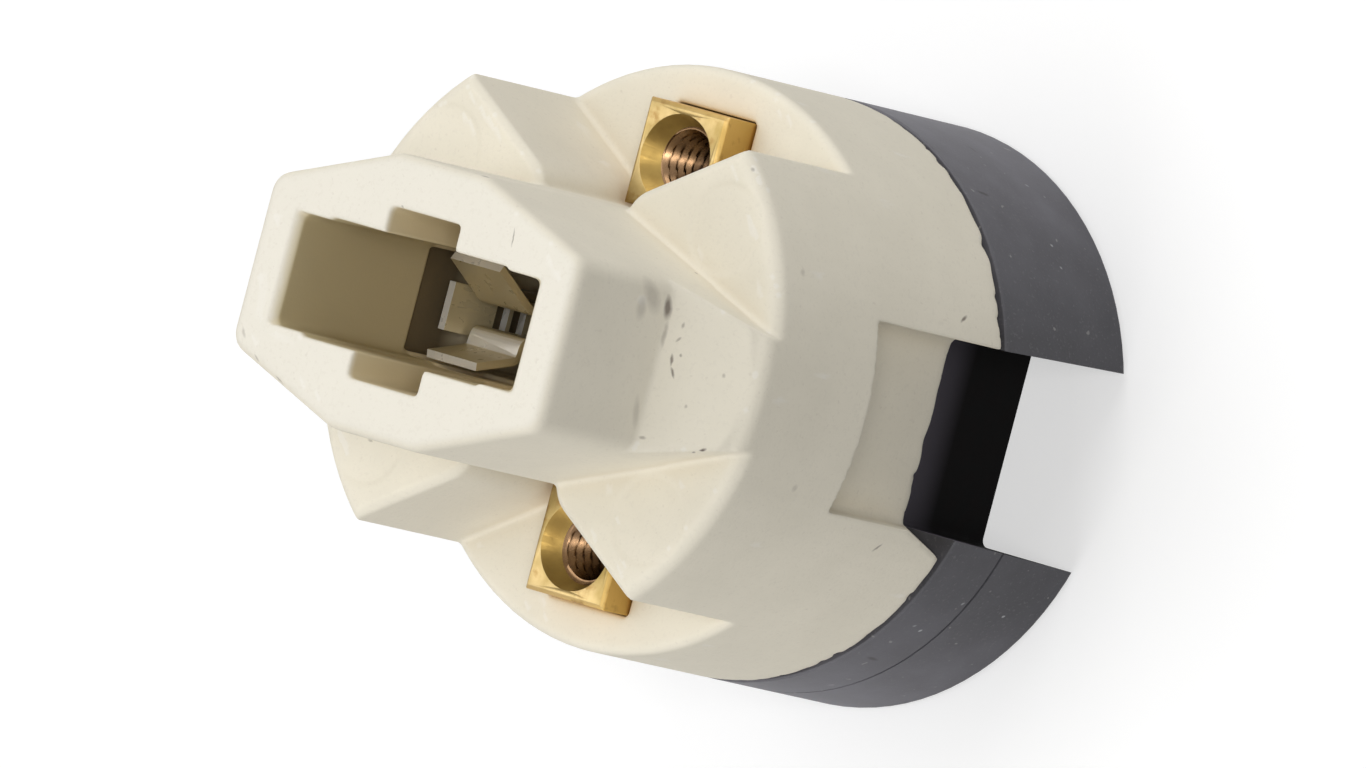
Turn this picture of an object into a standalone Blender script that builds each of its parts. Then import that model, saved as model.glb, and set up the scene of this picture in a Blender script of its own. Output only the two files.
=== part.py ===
"""Oven lamp holder for a two-pin capsule lamp, standing on its flat rear end.

Frame: metres, origin in the middle of the rear face, +Z towards the lamp.
X runs along the lamp well and Y across it. "Left" is -X, "right" is +X,
"lower" is -Y and "upper" is +Y, as the holder is seen with its well lying level.
"""
import math

import bmesh
import bpy
from mathutils import Matrix, Vector

mm = 0.001

# Overall form
body_radius = 14.5 * mm
holder_length = 37.5 * mm
round_sides = 96
arc_steps = 5

# Rear cover, its side slots and the seam in front of it
cover_length = 9.4 * mm
cover_rear_fillet = 0.5 * mm
cover_edge_chamfer = 0.1 * mm
cover_core_half_length = 7.35 * mm
cover_mouth_chamfer = 0.3 * mm
seam_gap = 0.2 * mm

# Side slots, cut through the ceramic body and the cover alike
slot_half_width = 4.75 * mm
slot_rear_half_width = 5.0 * mm
slot_floor_x = 10.5 * mm
slot_depth_from_front = 18.4 * mm
slot_corner_radius = 0.4 * mm

# Ceramic body, depths measured back from the front of the boss
wing_depth = 10.7 * mm
channel_depth = 18.7 * mm
wing_rim_fillet = 0.8 * mm
channel_rim_fillet = 0.5 * mm
wing_edge_chamfer = 0.35 * mm
channel_wall_angle = math.radians(30.5)
channel_throat_reach = 7.45 * mm
channel_throat_fillet = 1.8 * mm
channel_throat_clearance = 0.1 * mm

# Boss around the lamp well
boss_half_length = 10.3 * mm
boss_half_width = 6.85 * mm
boss_flat_half_length = 2.85 * mm
boss_side_angle = math.radians(19.3)
boss_end_radius = 1.1 * mm
boss_shoulder_radius = 2.0 * mm
boss_front_fillet = 0.7 * mm

# Gussets that prop the ends of the boss against the rim
gusset_top_depth = 7.2 * mm
gusset_slope = math.radians(37.0)
gusset_rim_fillet = 1.2 * mm
gusset_limit_slope = math.radians(60.0)
gusset_side_inset = 0.05 * mm

# Lamp well
well_half_length = 7.8 * mm
well_half_width = 2.95 * mm
well_wide_half_length = 5.85 * mm
well_end_half_width = 2.79 * mm
well_corner_radius = 0.4 * mm
well_mouth_chamfer = 0.12 * mm
notch_half_length = 2.3 * mm
notch_half_width = 4.26 * mm
notch_corner_radius = 0.2 * mm
end_step_depth = 9.85 * mm
end_step = 0.6 * mm
end_step_half_width = 2.6 * mm
partition_depth = 14.0 * mm
partition_half_width = 2.4 * mm
chamber_step = 0.08 * mm

# Chip broken off one corner of the body, beside the right-hand slot
chip_round_rim = 1.2 * mm
chip_along_slot = 3.5 * mm
chip_cutter_growth = 1.5

# Threaded blocks for the mounting screws
block_half_width = 2.6 * mm
block_breadth = 5.3 * mm
block_protrusion = 1.9 * mm
block_clearance = 0.06 * mm
block_setback = 0.1 * mm
block_edge_chamfer = 0.2 * mm
block_flange_half_width = 3.6 * mm
block_flange_thickness = 2.3 * mm
block_seat_gap = 0.3 * mm
upper_block_lift = 0.2 * mm
thread_minor_radius = 1.45 * mm
countersink_radius = 2.2 * mm

# Cover screws and washers, driven from behind into the blocks
screw_head_radius = 3.0 * mm
screw_head_height = 2.2 * mm
screw_head_round = 0.3 * mm
screw_shank_radius = 1.75 * mm
screw_core_radius = 1.3 * mm
screw_grip_in_block = 5.5 * mm
screw_tip_chamfer = 0.4 * mm
screw_drive_width = 0.8 * mm
screw_drive_depth = 1.0 * mm
screw_drive_angles = {"upper": math.radians(25.0), "lower": math.radians(-48.0)}
screw_hole_clearance = 0.3 * mm
counterbore_radius = 3.6 * mm
counterbore_depth = 3.6 * mm
counterbore_chamfer = 0.2 * mm
washer_outer_radius = 3.3 * mm
washer_thickness = 0.5 * mm
washer_hole_clearance = 0.2 * mm
stack_gap = 0.15 * mm

# Terminal tabs
tab_thickness = 0.8 * mm
tab_half_width = 2.4 * mm
tab_blade_x = 2.8 * mm
tab_bend_radius = 0.8 * mm
tab_rear_setback = 0.9 * mm
tab_tip_chamfer = 0.6 * mm
tab_lead_chamfer = 0.2 * mm
tab_hole_radius = 0.7 * mm
tab_hole_from_tip = 2.4 * mm
tab_foot_end_x = 7.2 * mm
tab_ear_start_x = 4.2 * mm
tab_ear_half_width = 3.6 * mm
tab_seat_gap = 0.3 * mm
tab_recess_clearance = 0.3 * mm
tab_slot_clearance = 0.15 * mm
tab_pocket_half_length = 2.0 * mm
tab_pocket_half_width = 3.4 * mm
tab_pocket_roof = 1.8 * mm
tab_pocket_radius = 0.4 * mm

# Contact clips, heights measured up from the middle of their base
clip_thickness = 0.4 * mm
clip_inner_x = 3.6 * mm
clip_outer_x = 6.9 * mm
clip_base_half_width = 1.85 * mm
clip_bend_radius = 0.5 * mm
clip_knee_rise = 2.6 * mm
clip_knee_radius = 1.0 * mm
clip_ridge_half_gap = 0.55 * mm
clip_ridge_rise = 12.8 * mm
clip_ridge_radius = 0.9 * mm
clip_shelf_radius = 0.35 * mm
clip_shelf_half_width = 1.75 * mm
clip_shelf_tilt = 0.1 * mm
clip_lip_half_width = 2.45 * mm
clip_lip_rise = 15.7 * mm
web_gap = 0.3 * mm
web_half_width = 1.2 * mm
web_rise = 14.6 * mm
web_foot_overlap = 1.4 * mm
window_half_width = 0.6 * mm
window_top_rise = 11.2 * mm
window_height = 0.95 * mm
window_bar = 0.3 * mm

# Springs that back the clips
spring_thickness = 0.3 * mm
spring_half_length = 1.35 * mm
spring_bend_radius = 0.85 * mm
spring_knee_radius = 1.3 * mm
spring_top_below_ridge = 1.5 * mm

# Rivets that join clip, spring and tab
rivet_x = 5.0 * mm
rivet_radius = 0.75 * mm
rivet_head_radius = 1.3 * mm
rivet_head_height = 0.6 * mm
rivet_flush_radius = 1.15 * mm
rivet_hole_clearance = 0.15 * mm

# Levels above the rear face
ceramic_rear = cover_length + seam_gap
wing_front = holder_length - wing_depth
channel_floor = holder_length - channel_depth
slot_front = holder_length - slot_depth_from_front
partition_top = holder_length - partition_depth
block_front = channel_floor + block_protrusion
block_rear = cover_length + block_seat_gap
tab_bottom = cover_length + tab_seat_gap
tab_top = tab_bottom + tab_thickness
recess_roof = tab_top + tab_recess_clearance
spring_bottom = tab_top + stack_gap
spring_top_face = spring_bottom + spring_thickness
clip_bottom = spring_top_face + stack_gap
clip_base_middle = clip_bottom + clip_thickness / 2
clip_top_face = clip_bottom + clip_thickness
clip_knee = clip_base_middle + clip_knee_rise
clip_ridge = clip_base_middle + clip_ridge_rise
clip_lip = clip_base_middle + clip_lip_rise

# Places across the holder
pocket_near_y = boss_half_width + block_setback
block_near_y = pocket_near_y + block_clearance
block_far_y = block_near_y + block_breadth
pocket_far_y = block_far_y + block_clearance
block_centre_y = (block_near_y + block_far_y) / 2
pocket_half_width = block_half_width + block_clearance
channel_throat_half_width = pocket_half_width + channel_throat_clearance
web_x = clip_outer_x + web_gap + clip_thickness / 2

# How far cutters run past the surfaces that they open, and how far a rim cutter stands off the rim
past = 1.0 * mm
overrun = 0.02 * mm


def remove_scene_objects():
    """Start from an empty scene."""
    for item in list(bpy.data.objects):
        bpy.data.objects.remove(item, do_unlink=True)


def new_material(name, colour, roughness, metallic):
    """Principled material of one colour."""
    material = bpy.data.materials.new(name)
    material.use_nodes = True
    shader = material.node_tree.nodes["Principled BSDF"]
    shader.inputs["Base Color"].default_value = (*colour, 1.0)
    shader.inputs["Roughness"].default_value = roughness
    shader.inputs["Metallic"].default_value = metallic
    material.diffuse_color = (*colour, 1.0)
    return material


def corner_arc(before, corner, after, radius):
    """Points of the arc that rounds one corner of an outline or path."""
    to_before = (before - corner).normalized()
    to_after = (after - corner).normalized()
    half_angle = to_before.angle(to_after) / 2
    reach = radius / math.tan(half_angle)
    centre = corner + (to_before + to_after).normalized() * (radius / math.sin(half_angle))
    start = corner + to_before * reach - centre
    end = corner + to_after * reach - centre
    turn = start.angle_signed(end)
    points = []
    for step in range(arc_steps + 1):
        angle = -turn * step / arc_steps
        points.append(centre + Matrix.Rotation(angle, 2) @ start)
    return points


def rounded(corners, closed=True):
    """Outline or open path through corners given as (u, v, radius)."""
    places = [Vector(corner[:2]) for corner in corners]
    points = []
    for index, corner in enumerate(corners):
        at_end = index in (0, len(corners) - 1)
        if corner[2] == 0 or (at_end and not closed):
            points.append(places[index])
            continue
        before = places[index - 1]
        after = places[(index + 1) % len(corners)]
        points.extend(corner_arc(before, places[index], after, corner[2]))
    return points


def shifted(outline, distance):
    """Counter-clockwise outline moved outwards, with its corners kept."""
    moved = []
    for index, point in enumerate(outline):
        back = (point - outline[index - 1]).normalized()
        ahead = (outline[(index + 1) % len(outline)] - point).normalized()
        normal_back = Vector((back.y, -back.x))
        normal_ahead = Vector((ahead.y, -ahead.x))
        mitre = (normal_back + normal_ahead) / (1 + normal_back.dot(normal_ahead))
        moved.append(point + mitre * distance)
    return moved


def circle(radius, centre=(0.0, 0.0), sides=round_sides):
    """Counter-clockwise circle."""
    points = []
    for step in range(sides):
        angle = 2 * math.pi * step / sides
        points.append(Vector((centre[0] + radius * math.cos(angle), centre[1] + radius * math.sin(angle))))
    return points


def rectangle(low_u, low_v, high_u, high_v, radius=0.0):
    """Counter-clockwise rectangle with equal corner radii."""
    corners = [(low_u, low_v), (high_u, low_v), (high_u, high_v), (low_u, high_v)]
    return rounded([(u, v, radius) for u, v in corners])


def thickened(path, thickness):
    """Counter-clockwise outline of a sheet whose middle follows the path."""
    sides = {1: [], -1: []}
    for index, point in enumerate(path):
        back = (point - path[max(index - 1, 0)]).normalized()
        ahead = (path[min(index + 1, len(path) - 1)] - point).normalized()
        if index == 0:
            back = ahead
        if index == len(path) - 1:
            ahead = back
        normal_back = Vector((back.y, -back.x))
        normal_ahead = Vector((ahead.y, -ahead.x))
        mitre = (normal_back + normal_ahead) / (1 + normal_back.dot(normal_ahead))
        for side in sides:
            sides[side].append(point + mitre * side * thickness / 2)
    return sides[1] + sides[-1][::-1]


def mesh_from(bm, name="shape"):
    """Mesh of a bmesh, with every face turned outwards."""
    bmesh.ops.recalc_face_normals(bm, faces=bm.faces)
    mesh = bpy.data.meshes.new(name)
    bm.to_mesh(mesh)
    bm.free()
    return mesh


def loft(levels, axis="Z"):
    """Closed solid through outlines of equally many points, given as (height, outline)."""
    bm = bmesh.new()
    rings = []
    for height, outline in levels:
        ring = []
        for point in outline:
            place = {
                "X": (height, point.x, point.y),
                "Y": (point.x, height, point.y),
                "Z": (point.x, point.y, height),
            }[axis]
            ring.append(bm.verts.new(place))
        rings.append(ring)
    for below, above in zip(rings, rings[1:]):
        for index in range(len(below)):
            following = (index + 1) % len(below)
            bm.faces.new((below[index], below[following], above[following], above[index]))
    bm.faces.new(rings[0][::-1])
    bm.faces.new(rings[-1])
    return mesh_from(bm)


def prism(outline, low, high, axis="Z"):
    """Straight extrusion of an outline."""
    return loft([(low, outline), (high, outline)], axis)


def turned(profile, centre=(0.0, 0.0), sides=round_sides):
    """Solid of revolution about a vertical axis, from (radius, height) points, bottom first."""
    return loft([(height, circle(radius, centre, sides)) for radius, height in profile])


def washer_ring(inner_radius, outer_radius, low, high, sides):
    """Flat ring about the Z axis."""
    bm = bmesh.new()
    section = [(outer_radius, low), (outer_radius, high), (inner_radius, high), (inner_radius, low)]
    rings = [[bm.verts.new((*point, height)) for point in circle(radius, sides=sides)] for radius, height in section]
    for number, ring in enumerate(rings):
        other = rings[(number + 1) % len(rings)]
        for index in range(sides):
            following = (index + 1) % sides
            bm.faces.new((ring[index], ring[following], other[following], other[index]))
    return mesh_from(bm)


def fillet_levels(outline, edge_height, radius, direction):
    """Levels that round the edge at the end of a prism; direction +1 for the top, -1 for the bottom."""
    levels = []
    for step in range(arc_steps + 1):
        angle = math.pi / 2 * step / arc_steps
        height = edge_height - direction * radius * (1 - math.sin(angle))
        levels.append((height, shifted(outline, -radius * (1 - math.cos(angle)))))
    return levels if direction > 0 else levels[::-1]


def combined(base, tools, operation="DIFFERENCE"):
    """Mesh of the base after an exact boolean with each tool in turn."""
    target = bpy.data.objects.new("base", base)
    bpy.context.scene.collection.objects.link(target)
    helpers = [target]
    for tool in tools:
        helper = bpy.data.objects.new("tool", tool)
        bpy.context.scene.collection.objects.link(helper)
        helpers.append(helper)
        modifier = target.modifiers.new("boolean", "BOOLEAN")
        modifier.operation = operation
        modifier.solver = "EXACT"
        modifier.object = helper
    graph = bpy.context.evaluated_depsgraph_get()
    result = bpy.data.meshes.new_from_object(target.evaluated_get(graph))
    for helper in helpers:
        bpy.data.objects.remove(helper, do_unlink=True)
    return result


def half_turned(mesh):
    """Copy of a mesh turned by half a turn about the Z axis."""
    copy = mesh.copy()
    copy.transform(Matrix.Rotation(math.pi, 4, "Z"))
    return copy


def both_sides(mesh):
    """The mesh and its copy on the opposite side of the Z axis."""
    return [mesh, half_turned(mesh)]


def place(name, mesh, material, turn=0.0, location=(0.0, 0.0, 0.0)):
    """Named object with its material, shaded smooth across shallow edges only."""
    if not mesh.materials:
        mesh.materials.append(material)
    mesh.shade_smooth()
    mesh.set_sharp_from_angle(angle=math.radians(30.0))
    item = bpy.data.objects.new(name, mesh)
    item.rotation_euler.z = turn
    item.location = location
    bpy.context.scene.collection.objects.link(item)
    return item


def boss_outline():
    """Elongated eight-sided outline of the boss."""
    end_half_width = boss_half_width - (boss_half_length - boss_flat_half_length) * math.tan(boss_side_angle)
    quarter = [
        (boss_half_length, end_half_width, boss_end_radius),
        (boss_flat_half_length, boss_half_width, boss_shoulder_radius),
    ]
    mirrored = [(-x, y, radius) for x, y, radius in quarter[::-1]]
    upper = quarter + mirrored
    return rounded(upper + [(-x, -y, radius) for x, y, radius in upper])


def rim_arc(edge_height, radius, turn):
    """Turned profile of a rim fillet from its foot, a hair outside the body, up through the turn angle."""
    reach = radius * math.tan(turn / 2)
    centre_height = edge_height - reach - overrun
    points = []
    for step in range(arc_steps + 1):
        angle = turn * step / arc_steps
        points.append((body_radius - radius + (radius + overrun) * math.cos(angle),
                       centre_height + (radius + overrun) * math.sin(angle)))
    return points


def below_rim(arc, bottom):
    """Turned profile of a solid whose top edge is the rim arc and which is wider than the body below it."""
    outer_radius = body_radius + 2 * past
    return [(outer_radius, bottom), (outer_radius, arc[0][1])] + arc


def ramp():
    """Ramp of the right-hand gusset, from inside the boss to past the rim, its rim edge rounded."""
    top = holder_length - gusset_top_depth
    slope = math.tan(gusset_slope)
    stations = []
    for x in (boss_half_length - past, body_radius + 2 * past):
        half_width = boss_half_width - gusset_side_inset - (x - boss_flat_half_length) * math.tan(boss_side_angle)
        height = top - (x - boss_half_length) * slope
        stations.append((x, rectangle(-half_width, channel_floor, half_width, height)))
    rim_height = top - (body_radius - boss_half_length) * slope
    arc = rim_arc(rim_height, gusset_rim_fillet, math.pi / 2 - gusset_slope)
    last_radius, last_height = arc[-1]
    rise = holder_length - last_height
    cone_end = (last_radius - rise / math.tan(gusset_limit_slope), holder_length)
    return combined(loft(stations, "X"), [turned(below_rim(arc, channel_floor) + [cone_end])], "INTERSECT")


def wing_front_cutter():
    """All that is cut away in front of the wings: their rims are rounded and the gussets stay."""
    arc = rim_arc(wing_front, wing_rim_fillet, math.pi / 2)
    outer_radius = body_radius + 3 * past
    sky = turned(arc[::-1] + [(outer_radius, arc[0][1]), (outer_radius, holder_length + past)])
    return combined(sky, both_sides(ramp()))


def channel_cutter():
    """Fan-shaped gap between the wings on the upper side, over a floor with a rounded rim."""
    outer_x = body_radius + 2 * past
    outer_y = channel_throat_reach + (outer_x - channel_throat_half_width) * math.tan(channel_wall_angle)
    near_y = boss_half_width - past
    outline = rounded([
        (-channel_throat_half_width, near_y, 0),
        (channel_throat_half_width, near_y, 0),
        (channel_throat_half_width, channel_throat_reach, channel_throat_fillet),
        (outer_x, outer_y, 0),
        (-outer_x, outer_y, 0),
        (-channel_throat_half_width, channel_throat_reach, channel_throat_fillet),
    ])
    opened = shifted(outline, wing_edge_chamfer)
    fan = loft([
        (channel_floor - 2 * past, outline),
        (wing_front - wing_edge_chamfer, outline),
        (wing_front, opened),
        (wing_front + past, opened),
    ])
    arc = rim_arc(channel_floor, channel_rim_fillet, math.pi / 2)
    return combined(fan, [turned(below_rim(arc, ceramic_rear))])


def well_outline():
    """Outline of the lamp well, with a notch in the middle of each long side."""
    quarter = [
        (well_half_length, well_end_half_width, well_corner_radius),
        (well_wide_half_length, well_end_half_width, 0),
        (well_wide_half_length, well_half_width, 0),
        (notch_half_length, well_half_width, 0),
        (notch_half_length, notch_half_width, notch_corner_radius),
    ]
    mirrored = [(-x, y, radius) for x, y, radius in quarter[::-1]]
    upper = quarter + mirrored
    return rounded(upper + [(-x, -y, radius) for x, y, radius in upper])


def well_cutter():
    """The lamp well down to the partition, with its mouth chamfered."""
    outline = well_outline()
    mouth = shifted(outline, well_mouth_chamfer)
    return loft([
        (partition_top, outline),
        (holder_length - well_mouth_chamfer, outline),
        (holder_length, mouth),
        (holder_length + past, mouth),
    ])


def contact_chamber_cutters():
    """Chamber for the right-hand clip, the step in its end wall and the recess for the foot of its tab."""
    half_width = well_end_half_width - chamber_step
    chamber = rectangle(partition_half_width, -half_width, well_half_length - chamber_step, half_width,
                        well_corner_radius)
    end_recess = rectangle(well_half_length - past, -end_step_half_width, well_half_length + end_step,
                           end_step_half_width)
    recess = rectangle(
        tab_blade_x - tab_thickness / 2 - tab_recess_clearance,
        -tab_ear_half_width - tab_recess_clearance,
        tab_foot_end_x + 2 * tab_recess_clearance,
        tab_ear_half_width + tab_recess_clearance,
        tab_pocket_radius,
    )
    return [
        prism(chamber, recess_roof - past / 2, partition_top + past),
        prism(end_recess, ceramic_rear - past, holder_length - end_step_depth),
        prism(recess, ceramic_rear - past, recess_roof),
    ]


def block_pocket_cutters():
    """Pocket for the upper threaded block and the wider seat for its flange."""
    pocket = rectangle(-pocket_half_width, pocket_near_y, pocket_half_width, pocket_far_y)
    flange_half_width = block_flange_half_width + block_clearance
    flange = rectangle(-flange_half_width, pocket_near_y, flange_half_width, pocket_far_y)
    flange_top = block_rear + block_flange_thickness + block_seat_gap
    return [
        prism(pocket, flange_top - past, channel_floor + past),
        prism(flange, ceramic_rear - past, flange_top),
    ]


def side_slot_outline(floor_x, half_width):
    """Outline of the right-hand side slot, open past the rim."""
    outer_x = body_radius + past
    return rounded([
        (floor_x, -half_width, slot_corner_radius),
        (outer_x, -half_width, 0),
        (outer_x, half_width, 0),
        (floor_x, half_width, slot_corner_radius),
    ])


def chip_cutter():
    """Wedge that breaks off the lower corner of the body where the right-hand slot meets the seam."""
    rim_x = math.sqrt(body_radius ** 2 - slot_half_width ** 2)
    rim_angle = math.atan2(-slot_half_width, rim_x) - chip_round_rim / body_radius
    corner = Vector((rim_x, -slot_half_width, ceramic_rear))
    break_points = [
        Vector((slot_floor_x, -slot_half_width, ceramic_rear)),
        Vector((body_radius * math.cos(rim_angle), body_radius * math.sin(rim_angle), ceramic_rear)),
        corner + Vector((0, 0, chip_along_slot)),
    ]
    middle = sum(break_points, Vector()) / len(break_points)
    bm = bmesh.new()
    base = [bm.verts.new(middle + (point - middle) * chip_cutter_growth) for point in break_points]
    apex = bm.verts.new(corner + (corner - middle) * chip_cutter_growth)
    bm.faces.new(base)
    for index in range(3):
        bm.faces.new((base[index], base[(index + 1) % 3], apex))
    return mesh_from(bm)


def ceramic_body():
    """Pressed ceramic body: drum with wings and gussets, boss, well, pockets and slots."""
    rim = circle(body_radius)
    drum = loft([
        (ceramic_rear, shifted(rim, -cover_edge_chamfer)),
        (ceramic_rear + cover_edge_chamfer, rim),
        (holder_length, rim),
    ])
    drum = combined(drum, [wing_front_cutter()] + both_sides(channel_cutter()))
    outline = boss_outline()
    boss = loft([(channel_floor - past, outline)]
                + fillet_levels(outline, holder_length, boss_front_fillet, 1))
    outside = combined(drum, [boss], "UNION")
    cutters = [well_cutter(), chip_cutter()]
    slot = side_slot_outline(slot_floor_x, slot_half_width)
    cutters += both_sides(prism(slot, ceramic_rear - past, slot_front))
    for cutter in contact_chamber_cutters() + block_pocket_cutters():
        cutters += both_sides(cutter)
    return combined(outside, cutters)


def screw_hole_cutter():
    """Counterbore and clearance hole for the upper cover screw."""
    hole_radius = screw_shank_radius + screw_hole_clearance
    return turned([
        (counterbore_radius + counterbore_chamfer, -past),
        (counterbore_radius + counterbore_chamfer, 0),
        (counterbore_radius, counterbore_chamfer),
        (counterbore_radius, counterbore_depth),
        (hole_radius, counterbore_depth),
        (hole_radius, cover_length + past),
    ], (0, block_centre_y), round_sides // 2)


def tab_pocket_cutters():
    """Pocket behind the right-hand tab and the slot its blade passes through."""
    outline = rectangle(tab_blade_x - tab_pocket_half_length, -tab_pocket_half_width,
                        tab_blade_x + tab_pocket_half_length, tab_pocket_half_width, tab_pocket_radius)
    mouth = shifted(outline, cover_mouth_chamfer)
    pocket = loft([(-past, mouth), (0, mouth), (cover_mouth_chamfer, outline),
                   (cover_length - tab_pocket_roof, outline)])
    half_slot = tab_thickness / 2 + tab_slot_clearance
    slot = rectangle(tab_blade_x - half_slot, -tab_half_width - tab_slot_clearance,
                     tab_blade_x + half_slot, tab_half_width + tab_slot_clearance)
    return [pocket, prism(slot, cover_length - tab_pocket_roof - past / 2, cover_length + past)]


def rear_cover():
    """Dark rear cover: two arms joined by a core, with pockets for the tabs and the screws."""
    rim = circle(body_radius)
    disc = loft(fillet_levels(rim, 0, cover_rear_fillet, -1)
                + [(cover_length - cover_edge_chamfer, rim), (cover_length, shifted(rim, -cover_edge_chamfer))])
    slot = loft([
        (-past, side_slot_outline(cover_core_half_length, slot_rear_half_width)),
        (0, side_slot_outline(cover_core_half_length, slot_rear_half_width)),
        (cover_length, side_slot_outline(cover_core_half_length, slot_half_width)),
        (cover_length + past, side_slot_outline(cover_core_half_length, slot_half_width)),
    ])
    cutters = both_sides(slot) + both_sides(screw_hole_cutter())
    for cutter in tab_pocket_cutters():
        cutters += both_sides(cutter)
    return combined(disc, cutters)


def threaded_block():
    """Upper brass block, flanged at the rear, bored and countersunk."""
    outline = rectangle(-block_half_width, block_near_y, block_half_width, block_far_y)
    shank = loft([(block_rear, outline), (block_front - block_edge_chamfer, outline),
                  (block_front, shifted(outline, -block_edge_chamfer))])
    flange_outline = rectangle(-block_flange_half_width, block_near_y, block_flange_half_width, block_far_y)
    flange = prism(flange_outline, block_rear, block_rear + block_flange_thickness)
    countersink_depth = countersink_radius - thread_minor_radius
    bore = turned([
        (thread_minor_radius, block_rear - past),
        (thread_minor_radius, block_front - countersink_depth),
        (countersink_radius, block_front),
        (countersink_radius, block_front + past),
    ], (0, block_centre_y), round_sides // 2)
    return combined(combined(shank, [flange], "UNION"), [bore])


def cover_screw():
    """Slotted cheese-head screw about the Z axis, its threaded end at core diameter."""
    head_seat = counterbore_depth - 2 * stack_gap - washer_thickness
    head_end = head_seat - screw_head_height
    thread_start = cover_length + stack_gap
    tip = block_rear + screw_grip_in_block
    body = turned([
        (screw_head_radius - screw_head_round, head_end),
        (screw_head_radius, head_end + screw_head_round),
        (screw_head_radius, head_seat),
        (screw_shank_radius, head_seat),
        (screw_shank_radius, thread_start - (screw_shank_radius - screw_core_radius)),
        (screw_core_radius, thread_start),
        (screw_core_radius, tip - screw_tip_chamfer),
        (screw_core_radius - screw_tip_chamfer, tip),
    ], sides=round_sides // 2)
    drive = rectangle(-screw_head_radius - past, -screw_drive_width / 2,
                      screw_head_radius + past, screw_drive_width / 2)
    return combined(body, [prism(drive, head_end - past, head_end + screw_drive_depth)])


def screw_washer():
    """Flat washer under the screw head."""
    top = counterbore_depth - stack_gap
    return washer_ring(screw_shank_radius + washer_hole_clearance, washer_outer_radius,
                       top - washer_thickness, top, round_sides // 2)


def terminal_tab():
    """Right-hand tab: a foot with two ears, bent down into a blade with a locking hole."""
    middle = tab_bottom + tab_thickness / 2
    path = rounded([
        (tab_foot_end_x, middle, 0),
        (tab_blade_x, middle, tab_bend_radius),
        (tab_blade_x, tab_rear_setback, 0),
    ], closed=False)
    strip = prism(thickened(path, tab_thickness), -tab_half_width, tab_half_width, "Y")
    bm = bmesh.new()
    bm.from_mesh(strip)
    tip_edges = [edge for edge in bm.edges
                 if all(abs(vert.co.z - tab_rear_setback) < 0.01 * mm for vert in edge.verts)]
    corner_edges = [edge for edge in tip_edges if abs(edge.verts[0].co.y - edge.verts[1].co.y) < 0.01 * mm]
    bmesh.ops.bevel(bm, geom=corner_edges, offset=tab_tip_chamfer, segments=1, affect="EDGES")
    lead_edges = [edge for edge in bm.edges
                  if all(abs(vert.co.z - tab_rear_setback) < 0.01 * mm for vert in edge.verts)
                  and abs(edge.verts[0].co.x - edge.verts[1].co.x) < 0.01 * mm]
    bmesh.ops.bevel(bm, geom=lead_edges, offset=tab_lead_chamfer, segments=1, affect="EDGES")
    strip = mesh_from(bm)
    ears = prism(rectangle(tab_ear_start_x, -tab_ear_half_width, tab_foot_end_x, tab_ear_half_width),
                 tab_bottom, tab_top)
    hole_radius = rivet_radius + rivet_hole_clearance
    flush_radius = rivet_flush_radius + rivet_hole_clearance
    rivet_hole = turned([
        (flush_radius, tab_bottom - past),
        (flush_radius, tab_bottom),
        (hole_radius, middle),
        (hole_radius, tab_top + past),
    ], (rivet_x, 0), round_sides // 4)
    lock_hole = prism(circle(tab_hole_radius, (0, tab_rear_setback + tab_hole_from_tip), round_sides // 4),
                      tab_blade_x - past, tab_blade_x + past, "X")
    return combined(combined(strip, [ears], "UNION"), [rivet_hole, lock_hole])


def rivet_hole_cutter(low, high):
    """Plain rivet hole through the base of the clip or spring."""
    return prism(circle(rivet_radius + rivet_hole_clearance, (rivet_x, 0), round_sides // 4), low, high)


def leaf_slope():
    """Sideways travel of a clip's leaf for each unit of height, between knee and ridge."""
    ridge_y = clip_ridge_half_gap + clip_thickness / 2
    return (clip_base_half_width - ridge_y) / (clip_ridge - clip_knee)


def contact_clip():
    """Right-hand clip: two sprung leaves that pinch the lamp's pin, and a windowed end web."""
    ridge_y = clip_ridge_half_gap + clip_thickness / 2
    leg = [(clip_base_half_width, clip_knee, clip_knee_radius),
           (clip_base_half_width, clip_base_middle, clip_bend_radius)]
    shelved = [
        (clip_lip_half_width, clip_lip, 0),
        (clip_shelf_half_width, clip_ridge + clip_shelf_tilt, clip_shelf_radius),
        (ridge_y, clip_ridge, clip_shelf_radius),
    ] + leg
    plain = [(clip_lip_half_width, clip_lip, 0), (ridge_y, clip_ridge, clip_ridge_radius)] + leg
    path = rounded(shelved + [(-y, z, radius) for y, z, radius in plain[::-1]], closed=False)
    leaves = prism(thickened(path, clip_thickness), clip_inner_x, clip_outer_x, "X")
    web_path = rounded([
        (clip_outer_x - web_foot_overlap, clip_base_middle, 0),
        (web_x, clip_base_middle, clip_bend_radius),
        (web_x, clip_base_middle + web_rise, 0),
    ], closed=False)
    web = prism(thickened(web_path, clip_thickness), -web_half_width, web_half_width, "Y")
    cutters = [rivet_hole_cutter(clip_bottom - past, clip_top_face + past)]
    top = clip_base_middle + window_top_rise
    for number in range(2):
        high = top - number * (window_height + window_bar)
        opening = rectangle(-window_half_width, high - window_height, window_half_width, high)
        cutters.append(prism(opening, web_x - past / 2, web_x + past / 2, "X"))
    return combined(combined(leaves, [web], "UNION"), cutters)


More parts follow.
